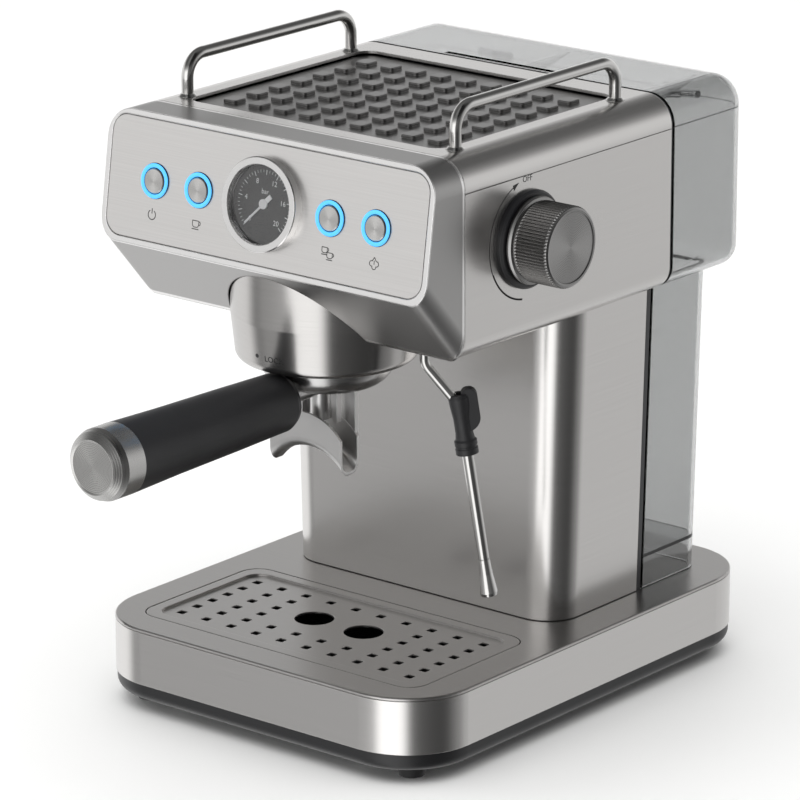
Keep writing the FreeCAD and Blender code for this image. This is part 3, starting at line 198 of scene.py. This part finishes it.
def brushed_steel(name, dark, light, across, rough, edge=0.0006, grain=0.06):
    """Belt-brushed 304 stainless: long fine scratches blur what it mirrors. A scratch is about 0.1 mm wide,
    drawn near 0.4 mm so that it shows. `across` gives cycles per metre along X, Y and Z."""
    material, tree = new_material(name)
    place = add(tree, "TexCoord")
    run = add(tree, "Mapping", {"Scale": across}, {"Vector": (place, "Object")})
    scratch = add(tree, "TexNoise", {"Scale": 1, "Detail": 3, "Roughness": 0.6}, {"Vector": (run, "Vector")})
    tone = add(tree, "ValToRGB", links={"Fac": (scratch, "Fac")})
    tone.color_ramp.elements[0].position = 0.25
    tone.color_ramp.elements[0].color = colour(dark)
    tone.color_ramp.elements[1].position = 0.75
    tone.color_ramp.elements[1].color = colour(light)
    smear = add(tree, "TexNoise", {"Scale": 9, "Detail": 2}, {"Vector": (place, "Object")})
    mixed = add(tree, "Math", {1: 0.35}, {0: (smear, "Fac"), 2: (scratch, "Fac")}, operation="MULTIPLY_ADD")
    gloss = add(tree, "MapRange", {"From Min": 0.3, "From Max": 1.0, "To Min": rough - 0.01,
                                   "To Max": rough + 0.02}, {"Value": (mixed, "Value")})
    rounded = add(tree, "Bevel", {"Radius": edge}, samples=4)
    relief = add(tree, "Bump", {"Strength": grain, "Distance": 0.0001},
                 {"Height": (scratch, "Fac"), "Normal": (rounded, "Normal")})
    surface(tree, add(tree, "BsdfPrincipled", {"Metallic": 1},
                      {"Base Color": (tone, "Color"), "Roughness": (gloss, "Result"),
                       "Normal": (relief, "Normal")}))
    return material


def moulded_plastic(name, tone, rough, grit=900, depth=0.00006):
    """Moulded plastic or rubber, or a sand casting: an even grit, about a millimetre across where it shows."""
    material, tree = new_material(name)
    place = add(tree, "TexCoord")
    grain = add(tree, "TexNoise", {"Scale": grit, "Detail": 2}, {"Vector": (place, "Object")})
    cloud = add(tree, "TexNoise", {"Scale": 30, "Detail": 2}, {"Vector": (place, "Object")})
    gloss = add(tree, "MapRange", {"To Min": rough - 0.07, "To Max": rough + 0.07}, {"Value": (cloud, "Fac")})
    rounded = add(tree, "Bevel", {"Radius": 0.0005}, samples=4)
    relief = add(tree, "Bump", {"Strength": 0.3, "Distance": depth},
                 {"Height": (grain, "Fac"), "Normal": (rounded, "Normal")})
    surface(tree, add(tree, "BsdfPrincipled", {"Base Color": colour(tone), "IOR": 1.53},
                      {"Roughness": (gloss, "Result"), "Normal": (relief, "Normal")}))
    return material


steel_round = brushed_steel("brushed_steel_lengthwise", "#D6D4D2", "#DBD9D7", (16, 16, 2600), 0.25, grain=0.025)
steel_flat = brushed_steel("brushed_steel_flat", "#BDBBB9", "#C3C1BF", (14, 2200, 2200), 0.3, grain=0.03)
black_abs = moulded_plastic("black_abs", "#1A1A1C", 0.42)
rubber = moulded_plastic("moulded_rubber", "#141415", 0.7)
finish(steel_round, "base_band")
finish(steel_flat, "base_plate", "drip_grille")
finish(black_abs, "base_skirt", "tray_well", "drip_tray")
finish(rubber, "feet")


# ---------------------------------------------------------------- column and head
# The column is a folded sleeve and the head a folded sheet, brushed round their corners, under a
# deep drawn cover of the same steel. A dark moulded frame closes the back of both.
dark_frame = moulded_plastic("dark_abs_frame", "#2A2B2D", 0.35)
finish(steel_round, "column_shell", "head_shell", "top_cover")
finish(dark_frame, "column_back", "rear_frame")


# ---------------------------------------------------------------- cup tray and rails
# The warmer plate is satin steel with pressed square pads. The rails are bent from 6 mm stainless
# bar, polished, and stand in holes in the cover.
def polished_steel(name, tone, rough):
    """Drawn and polished stainless bar: clear reflections, with faint rubbed streaks a few millimetres long."""
    material, tree = new_material(name)
    place = add(tree, "TexCoord")
    rubbed = add(tree, "TexNoise", {"Scale": 220, "Detail": 3, "Distortion": 0.6},
                 {"Vector": (place, "Object")})
    gloss = add(tree, "MapRange", {"To Min": rough - 0.05, "To Max": rough + 0.06}, {"Value": (rubbed, "Fac")})
    rounded = add(tree, "Bevel", {"Radius": 0.0004}, samples=4)
    surface(tree, add(tree, "BsdfPrincipled", {"Base Color": colour(tone), "Metallic": 1},
                      {"Roughness": (gloss, "Result"), "Normal": (rounded, "Normal")}))
    return material


polished = polished_steel("polished_stainless_bar", "#CBCAC8", 0.13)
satin_plate = brushed_steel("satin_pressed_plate", "#8B8A89", "#959493", (900, 900, 900), 0.34, grain=0.03)
finish(satin_plate, "cup_tray")
finish(polished, "rail_left", "rail_right")


# ---------------------------------------------------------------- front bezel and panel
# A die-cast bezel, satin plated, carries the panel: a brushed plate with printed signs under its
# buttons. The bezel's rim is glossier, with a painted highlight, and stands a little proud of the plate.
# The switches sit on a board behind it, of the same green laminate as the control board.
finish(moulded_plastic("circuit_board", "#16341F", 0.45), "switch_board", "control_board")

PANEL_LEAN = radians(8.34)
PANEL_LOW = np.array([0, -0.1369, 0.255])
PANEL_UP = np.array([0, sin(PANEL_LEAN), cos(PANEL_LEAN)])
PANEL_OUT = np.array([0, -cos(PANEL_LEAN), sin(PANEL_LEAN)])
BUTTON_ROW = 0.0352
BEZEL_BACK = -0.1067
PRINT_THICK = 0.00004


def bezel_plating():
    """Satin plating, glossier on the rim round the panel and on the last 2 mm before the head, with a highlight
    painted there in a lighter colour. The rim is found by its distance from the panel's plane, and the edge by
    its place from front to back."""
    material, tree = new_material("satin_plating_with_painted_highlight")
    place = add(tree, "TexCoord")
    cast = add(tree, "TexNoise", {"Scale": 700, "Detail": 2}, {"Vector": (place, "Object")})
    proud = add(tree, "VectorMath", {1: PANEL_OUT.tolist()}, {0: (place, "Object")}, operation="DOT_PRODUCT")
    face = float(PANEL_LOW @ PANEL_OUT)
    rim = add(tree, "MapRange", {"From Min": face - 0.0009, "From Max": face - 0.0006},
              {"Value": (proud, "Value")})
    axes = add(tree, "SeparateXYZ", links={"Vector": (place, "Object")})
    back_edge = add(tree, "MapRange", {"From Min": BEZEL_BACK - 0.0002, "From Max": BEZEL_BACK},
                    {"Value": (axes, "Y")})
    polish_and_highlight = add(tree, "Math", {}, {0: (rim, "Result"), 1: (back_edge, "Result")}, operation="MAXIMUM")
    # The rim and the back edge are painted a lighter colour as a highlight, and below they are also made
    # glossier.
    tone = add(tree, "MixRGB", {"Color1": colour("#B2B1B0"), "Color2": colour("#EFEEED")},
               {"Fac": (polish_and_highlight, "Value")})
    satin = add(tree, "MapRange", {"To Min": 0.34, "To Max": 0.4}, {"Value": (cast, "Fac")})
    gloss = add(tree, "MixRGB", {"Color2": (0.24, 0.24, 0.24, 1)},
                {"Fac": (polish_and_highlight, "Value"), "Color1": (satin, "Result")})
    rounded = add(tree, "Bevel", {"Radius": 0.0009}, samples=4)
    surface(tree, add(tree, "BsdfPrincipled", {"Metallic": 1},
                      {"Base Color": (tone, "Color"), "Roughness": (gloss, "Color"),
                       "Normal": (rounded, "Normal")}))
    return material


finish(bezel_plating(), "front_bezel")
finish(brushed_steel("brushed_front_panel", "#DEDCDA", "#E6E4E2", (12, 1500, 1500), 0.34, 0.0003, 0.02),
       "front_panel")


def on_panel(flat, out=PRINT_THICK):
    """Millimetres (x, up from the panel's low edge) to the leaning panel, `out` metres proud of it."""
    flat = np.asarray(flat, float) / 1000
    return PANEL_LOW + np.outer(flat[:, 0], [1, 0, 0]) + np.outer(flat[:, 1], PANEL_UP) + out * PANEL_OUT


def grid_faces(rows, columns, closed=False):
    """Quads between a grid's rows and columns; a closed grid joins its last column to its first."""
    r, c = np.meshgrid(np.arange(rows - 1), np.arange(columns if closed else columns - 1), indexing="ij")
    following = (c + 1) % columns
    corners = (r * columns + c, r * columns + following, (r + 1) * columns + following, (r + 1) * columns + c)
    return np.stack(corners, -1).reshape(-1, 4)


def piece(name, points, faces, material, body, smooth=True):
    """Puts points and faces into a new mesh with one finish, which rides on a body."""
    mesh = bpy.data.meshes.new(name)
    mesh.from_pydata(np.asarray(points).tolist(), [], [list(map(int, face)) for face in faces])
    mesh.materials.append(material)
    if smooth:
        mesh.shade_smooth()
    else:
        mesh.shade_flat()
    made = bpy.data.objects.new(name, mesh)
    bpy.context.scene.collection.objects.link(made)
    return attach(made, body)


def stroke(path, width):
    """A pen line of even width: the path p gives the two sides p ± n·width/2, where n is its unit normal."""
    path = np.asarray(path, float)
    along = np.gradient(path, axis=0)
    normal = np.stack([-along[:, 1], along[:, 0]], 1)
    normal = normal / np.linalg.norm(normal, axis=1, keepdims=True)
    sides = np.concatenate([path - normal * width / 2, path + normal * width / 2])
    count = len(path)
    start = np.arange(count - 1)
    return sides, np.stack([start, start + 1, start + 1 + count, start + count], 1)


def arc(x, y, radius, start, stop, steps=33):
    """Points of a circle's arc, in degrees anticlockwise from the right."""
    angle = np.radians(np.linspace(start, stop, steps))
    return np.stack([x + radius * np.cos(angle), y + radius * np.sin(angle)], 1)


def line(*corners):
    """A polyline with eleven points to a side, so that a stroke's corners stay sharp."""
    corners = np.asarray(corners, float)
    t = np.linspace(0, 1, 11)[:, None]
    return np.concatenate([a + (b - a) * t for a, b in zip(corners, corners[1:])])


def filled(outline):
    """One flat face inside a closed outline."""
    outline = np.asarray(outline, float)
    return outline, np.arange(len(outline))[None, :]


def lettering(text, size, x, y, turned=0):
    """Plain sans text as a flat mesh, centred on a point, turned by degrees, with capitals `size` high."""
    curve = bpy.data.curves.new("letters", "FONT")
    curve.body = text
    curve.align_x = "CENTER"
    curve.align_y = "CENTER"
    curve.size = size / 0.7
    curve.resolution_u = 3
    holder = bpy.data.objects.new("letters", curve)
    mesh = bpy.data.meshes.new_from_object(holder)
    flat = np.zeros(len(mesh.vertices) * 3)
    mesh.vertices.foreach_get("co", flat)
    flat = flat.reshape(-1, 3)[:, :2]
    faces = [tuple(face.vertices) for face in mesh.polygons]
    bpy.data.objects.remove(holder)
    bpy.data.curves.remove(curve)
    bpy.data.meshes.remove(mesh)
    angle = radians(turned)
    spin = np.array([[cos(angle), sin(angle)], [-sin(angle), cos(angle)]])
    return flat @ spin + [x, y], faces


def printed(name, marks, place, material, body):
    """One print of several flat marks, laid on a surface by the function `place`."""
    points, faces, count = [], [], 0
    for flat, own in marks:
        points.append(place(flat))
        faces += [[int(i) + count for i in face] for face in own]
        count += len(flat)
    piece(name, np.concatenate(points), faces, material, body, smooth=False)


def print_ink(name, tone, rough):
    """Screen-printing ink: nearly matt, with a speck in its gloss under a millimetre across."""
    material, tree = new_material(name)
    speck = add(tree, "TexNoise", {"Scale": 1500, "Detail": 1}, {"Vector": (add(tree, "TexCoord"), "Object")})
    gloss = add(tree, "MapRange", {"To Min": rough, "To Max": rough + 0.15}, {"Value": (speck, "Fac")})
    surface(tree, add(tree, "BsdfPrincipled", {"Base Color": colour(tone), "IOR": 1.5},
                      {"Roughness": (gloss, "Result")}))
    return material


ink = print_ink("screen_print_black", "#262626", 0.4)
ICON_ROW, ICON_REACH = 17.4, 74.5
PEN, BOLD_PEN = 0.42, 0.5


def cup_marks(x, y, s):
    """A cup seen from the side, with its ear and saucer; `s` is half its width."""
    bowl = np.concatenate([line((x + 0.7 * s, y + 0.75 * s), (x - s, y + 0.75 * s), (x - s, y)),
                           arc(x - 0.4 * s, y, 0.6 * s, 180, 270, 9), arc(x + 0.1 * s, y, 0.6 * s, 270, 360, 9),
                           line((x + 0.7 * s, y), (x + 0.7 * s, y + 0.75 * s))])
    ear = arc(x + 0.72 * s, y + 0.25 * s, 0.4 * s, -85, 85)
    saucer = line((x - 1.1 * s, y - 1.0 * s), (x + 0.75 * s, y - 1.0 * s))
    return [stroke(bowl, PEN), stroke(ear, PEN), stroke(saucer, PEN + 0.04)]


power = [stroke(arc(-ICON_REACH, ICON_ROW, 2.5, 122, 418), BOLD_PEN),
         stroke(line((-ICON_REACH, ICON_ROW + 0.6), (-ICON_REACH, ICON_ROW + 3.4)), BOLD_PEN)]
lobes = np.concatenate([arc(ICON_REACH - 1.6, ICON_ROW - 0.2, 1.35, 75, 285),
                        arc(ICON_REACH, ICON_ROW - 1.8, 1.3, 190, 350),
                        arc(ICON_REACH + 1.6, ICON_ROW - 0.2, 1.35, 255, 465)])
arrow = line((ICON_REACH - 1.3, ICON_ROW + 1.1), (ICON_REACH, ICON_ROW + 3.1),
             (ICON_REACH + 1.3, ICON_ROW + 1.1))
stem = line((ICON_REACH, ICON_ROW - 0.6), (ICON_REACH, ICON_ROW + 1.4))
steam_cloud = [stroke(lobes, PEN), stroke(arrow, PEN), stroke(stem, PEN)]
signs = (power + cup_marks(-44, ICON_ROW, 2.5) + cup_marks(42.4, ICON_ROW + 1.2, 2.1)
         + cup_marks(45.9, ICON_ROW - 1.2, 2.1) + steam_cloud)
printed("panel_signs", signs, on_panel, ink, "frame")


# ---------------------------------------------------------------- push buttons
# Each button is a spun aluminium cap in a plated sleeve, with a lit ring of diffusing acrylic round
# it. The fine turning rings on the cap fan its reflections into wedges.
def spun_metal(name, tone, centre, tilt, axis, ring_mm=0.5, rough=0.26, depth=0.00003):
    """Face-turned aluminium: grooves of a ring_mm pitch stretch each highlight outwards from the centre, into
    pale and dark wedges. `tilt` brings the piece's axis to Y, and `axis` is the machine axis nearest to it."""
    material, tree = new_material(name)
    place = add(tree, "TexCoord")
    local = add(tree, "Mapping", {"Location": centre, "Rotation": tilt}, {"Vector": (place, "Object")},
                vector_type="TEXTURE")
    groove = add(tree, "TexWave", {"Scale": 2 * pi / (20 * ring_mm / 1000), "Distortion": 0.4, "Detail": 2},
                 {"Vector": (local, "Vector")}, wave_type="RINGS", rings_direction="Y")
    gloss = add(tree, "MapRange", {"To Min": rough, "To Max": rough + 0.08}, {"Value": (groove, "Fac")})
    relief = add(tree, "Bump", {"Strength": 0.3, "Distance": depth}, {"Height": (groove, "Fac")})
    lay = add(tree, "Tangent", direction_type="RADIAL", axis=axis)
    surface(tree, add(tree, "BsdfPrincipled", {"Base Color": colour(tone), "Metallic": 1, "Anisotropic": 0.85},
                      {"Roughness": (gloss, "Result"), "Normal": (relief, "Normal"),
                       "Tangent": (lay, "Tangent")}))
    return material


def turned(profile, steps, place, depth=None):
    """Surface of revolution: each (radius, height) of the profile goes round in `steps`; `depth` may pull a
    point in by an amount that depends on its angle and row. `place` takes (x, y, height) to the machine."""
    profile = np.asarray(profile, float)
    angle = np.linspace(0, 2 * pi, steps, endpoint=False)
    radius = np.repeat(profile[:, :1], steps, 1)
    if depth is not None:
        radius = radius - depth(angle[None, :], np.arange(len(profile))[:, None])
    ring = np.stack([radius * np.cos(angle), radius * np.sin(angle), np.repeat(profile[:, 1:], steps, 1)], -1)
    return place(ring.reshape(-1, 3)), grid_faces(len(profile), steps, closed=True)[:, ::-1]


ring_plate = polished_steel("plated_button_ring", "#4A6A88", 0.3)
finish(ring_plate, "button_rings")
RING_RADIUS, RING_HALF = 0.0081, 0.0011
lit, tree = new_material("lit_acrylic_ring")
haze = add(tree, "TexNoise", {"Scale": 600, "Detail": 1}, {"Vector": (add(tree, "TexCoord"), "Object")})
power_of = add(tree, "MapRange", {"To Min": 0.75, "To Max": 0.95}, {"Value": (haze, "Fac")})
surface(tree, add(tree, "BsdfPrincipled", {"Base Color": colour("#3E96DA"), "Roughness": 0.4, "IOR": 1.49,
                                           "Emission Color": colour("#5CB8F8")},
                  {"Emission Strength": (power_of, "Result")}))
for name, x in (("button_power", -74), ("button_cup", -44), ("button_two_cups", 44), ("button_steam", 74)):
    centre = on_panel([(x, BUTTON_ROW * 1000)], 0)[0]
    finish(spun_metal(f"spun_cap_{name}", "#C9C8C6", centre.tolist(), (-PANEL_LEAN, 0, 0), "Y"), name)

    def round_button(local, centre=centre):
        """Local x, y and height to the panel's x, up and out directions, about the button's centre."""
        return (centre + np.outer(local[:, 0], [1, 0, 0]) + np.outer(local[:, 1], PANEL_UP)
                + np.outer(local[:, 2], PANEL_OUT))

    band = np.linspace(0, pi, 9)
    profile = np.stack([RING_RADIUS - RING_HALF * np.cos(band), 0.0007 + 0.00065 * np.sin(band)], 1)
    points, faces = turned(profile, 72, round_button)
    piece(f"lit_ring_{name}", points, faces, lit, "frame")


# ---------------------------------------------------------------- pressure gauge
# A plated brass case with a polished bezel and a flat glass. The dial is printed tin plate, with a
# scale in bar, and the needle is a stamped and painted strip.
finish(polished_steel("polished_gauge_bezel", "#E2E1E0", 0.2), "gauge_case")
dial_paint = moulded_plastic("dial_paint_black", "#1B1B1D", 0.5, 1200, 0.00002)
finish(dial_paint, "gauge_dial")
pale_ink = print_ink("dial_print_white", "#D9DADB", 0.45)
finish(pale_ink, "gauge_needle")
ZERO_AT, SWEEP = 225, 270
FULL_BAR, TICKS_PER_BAR = 20, 2
TICK_OUTER, FIGURE_RING = 17.6, 12.4


def on_dial(flat):
    """Millimetres about the dial's centre to the dial's face, which lies just inside the case."""
    return on_panel(np.asarray(flat) + [0, BUTTON_ROW * 1000], -0.00046)


marks = []
for step in range(FULL_BAR * TICKS_PER_BAR + 1):
    angle = radians(ZERO_AT - SWEEP * step / (FULL_BAR * TICKS_PER_BAR))
    length, width = (2.6, 0.42) if step % 4 == 0 else (1.4, 0.24)
    ends = np.array([[cos(angle), sin(angle)]]) * np.array([[TICK_OUTER - length], [TICK_OUTER]])
    marks.append(stroke(line(*ends), width))
for number in range(0, FULL_BAR + 1, 4):
    angle = radians(ZERO_AT - SWEEP * number / FULL_BAR)
    marks.append(lettering(str(number), 2.7, FIGURE_RING * cos(angle), FIGURE_RING * sin(angle)))
marks.append(lettering("bar", 2.6, 0, 6.4))
printed("dial_scale", marks, on_dial, pale_ink, "frame")


def clear(name, tone, ior, ripple, low, high):
    """Glass or clear plastic, with slow ripples in its gloss, `ripple` to the metre."""
    material, tree = new_material(name)
    flow = add(tree, "TexNoise", {"Scale": ripple, "Detail": 2}, {"Vector": (add(tree, "TexCoord"), "Object")})
    gloss = add(tree, "MapRange", {"To Min": low, "To Max": high}, {"Value": (flow, "Fac")})
    surface(tree, add(tree, "BsdfPrincipled",
                      {"Base Color": colour(tone), "IOR": ior, "Transmission Weight": 1},
                      {"Roughness": (gloss, "Result")}))
    return material


finish(clear("gauge_window_glass", "#FFFFFF", 1.5, 60, 0.0, 0.03), "gauge_glass")


# ---------------------------------------------------------------- group, portafilter and spout
# The group cover is a drawn steel cup. The portafilter is cast and plated, with a spout under it,
# and its handle is grained nylon over a steel stud, closed by a spun aluminium cap.
GROUP_Y = -82.4
SHROUD_LOW, SHROUD_HIGH = (198.7, 47.7), (224, 50.4)
HANDLE_END = (0, -0.25, 0.1823)
finish(brushed_steel("brushed_group_cover", "#BBB9B7", "#C1BFBD", (10, 10, 2400), 0.2, grain=0.03),
       "group_shroud")
finish(polished_steel("plated_casting", "#BDBCBB", 0.24), "portafilter_bowl", "filter_basket", "shower_screen",
       "screws", "handle_stud", "valve_spindle", "lid_pins")
finish(polished_steel("satin_plated_spout", "#D5D4D3", 0.34), "spout")
finish(polished_steel("machined_brass", "#C6A468", 0.3), "group_head", "steam_valve", "wand_socket")
finish(moulded_plastic("cast_aluminium", "#8E8E8E", 0.5), "boiler", "pump")
finish(rubber, "group_gasket", "pump_mounts")
grip_nylon = moulded_plastic("grained_nylon_grip", "#1E1E20", 0.5, 700, 0.00012)
finish(grip_nylon, "handle_grip", "wand_grip")
finish(spun_metal("spun_handle_cap", "#C2C1BF", HANDLE_END, (0, 0, 0), "Y", 0.9), "handle_cap")


def on_shroud(flat):
    """Millimetres round the cover from its front, and height above the floor, to its tapered wall: the radius
    grows in a straight line with height, plus the ink's thickness."""
    flat = np.asarray(flat, float)
    low, high = SHROUD_LOW, SHROUD_HIGH
    radius = low[1] + (flat[:, 1] - low[0]) * (high[1] - low[1]) / (high[0] - low[0]) + 0.08
    angle = flat[:, 0] / 48.0
    return np.stack([radius * np.sin(angle), GROUP_Y - radius * np.cos(angle), flat[:, 1]], 1) / 1000


dot = arc(-6.6, 208, 1.1, 0, 350, 24)
printed("lock_sign", [filled(dot), lettering("LOCK", 3.1, 4.6, 207.4)], on_shroud, ink, "frame")


# ---------------------------------------------------------------- steam wand
# The wand is bent and polished tube in a brass swivel, with a slipped-on rubber grip, an outer tube
# and a turned nozzle.
finish(polished, "wand_pipe", "wand_tube", "wand_nozzle")


# ---------------------------------------------------------------- steam knob
# The knob is turned aluminium with straight knurling round its drum and a face-turned end. It turns
# over a moulded ring, and the signs for shut, steam and hot water are printed round it on the wall.
KNOB_Y, KNOB_Z = -0.0536, 0.2738
WALL_X = 0.10905
FLUTES, FLUTE_DEEP = 76, 0.00075
DRUM_ROWS = (6, 9)


def on_knob(local):
    """Local x, y and height to the knob, whose axis points to the machine's right."""
    return np.stack([local[:, 2], KNOB_Y + local[:, 0], KNOB_Z + local[:, 1]], 1)


# Millimetres: radius, and distance from the machine's middle plane.
knob_profile = [(0, 113), (22.9, 113), (22.9, 114.2), (22.3, 115.4), (20.9, 115.9), (20.9, 116.6),
                (21.3, 117.2), (21.3, 124), (21.3, 130), (21.3, 135.2), (20.6, 136.4), (19.5, 137),
                (18.6, 136.9), (18.1, 136.4), (12, 136.4), (6, 136.4), (0.05, 136.4)]


def knurl(angle, row):
    """Straight flutes, deep·((1 + cos(flutes·angle))/2)^0.7, on the drum's cylindrical rows only."""
    drum = (row >= DRUM_ROWS[0]) & (row <= DRUM_ROWS[1])
    return np.where(drum, FLUTE_DEEP * (0.5 + 0.5 * np.cos(FLUTES * angle)) ** 0.7, 0)


points, faces = turned(np.array(knob_profile) / 1000, FLUTES * 6, on_knob, knurl)
knob_metal = spun_metal("spun_knob", "#9C9B9A", (0, KNOB_Y, KNOB_Z), (0, 0, radians(90)), "X", 0.8)
knob = piece("knob_knurled", points, faces, knob_metal, "knob", smooth=False)
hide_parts("steam_knob")
finish(black_abs, "knob_ring")


def on_wall(flat):
    """Millimetres to the knob's right (towards the back) and above its axis, to the head's side wall."""
    flat = np.asarray(flat, float) / 1000
    return np.stack([np.full(len(flat), WALL_X), KNOB_Y + flat[:, 0], KNOB_Z + flat[:, 1]], 1)


sweep_marks = [stroke(arc(0, 0, 31.5, 112, 262, 61), 0.5), stroke(arc(0, 0, 31.3, 205, 262, 31), 1.0),
               filled([(-12.6, 30.2), (-7.6, 30.9), (-11.6, 27.2)]), lettering("OFF", 3.2, -0.6, 31.6)]
printed("knob_signs", sweep_marks, on_wall, ink, "frame")


# ---------------------------------------------------------------- water tank and lid
# The tank and its lid are moulded in clear smoked SAN, about 2 mm thick, on a rubber-sealed valve.
# The hoses that run on from it inside are silicone, and the pipe to the steam valve is steel.
smoked = clear("smoked_clear_san", "#C6C7C7", 1.49, 25, 0.02, 0.06)
finish(smoked, "water_tank", "tank_lid")
finish(black_abs, "tank_valve", "tank_seat", "cord_gland")
finish(moulded_plastic("silicone_hose", "#C4C3BE", 0.5), "supply_hose", "pressure_tube")
finish(polished, "steam_tube")
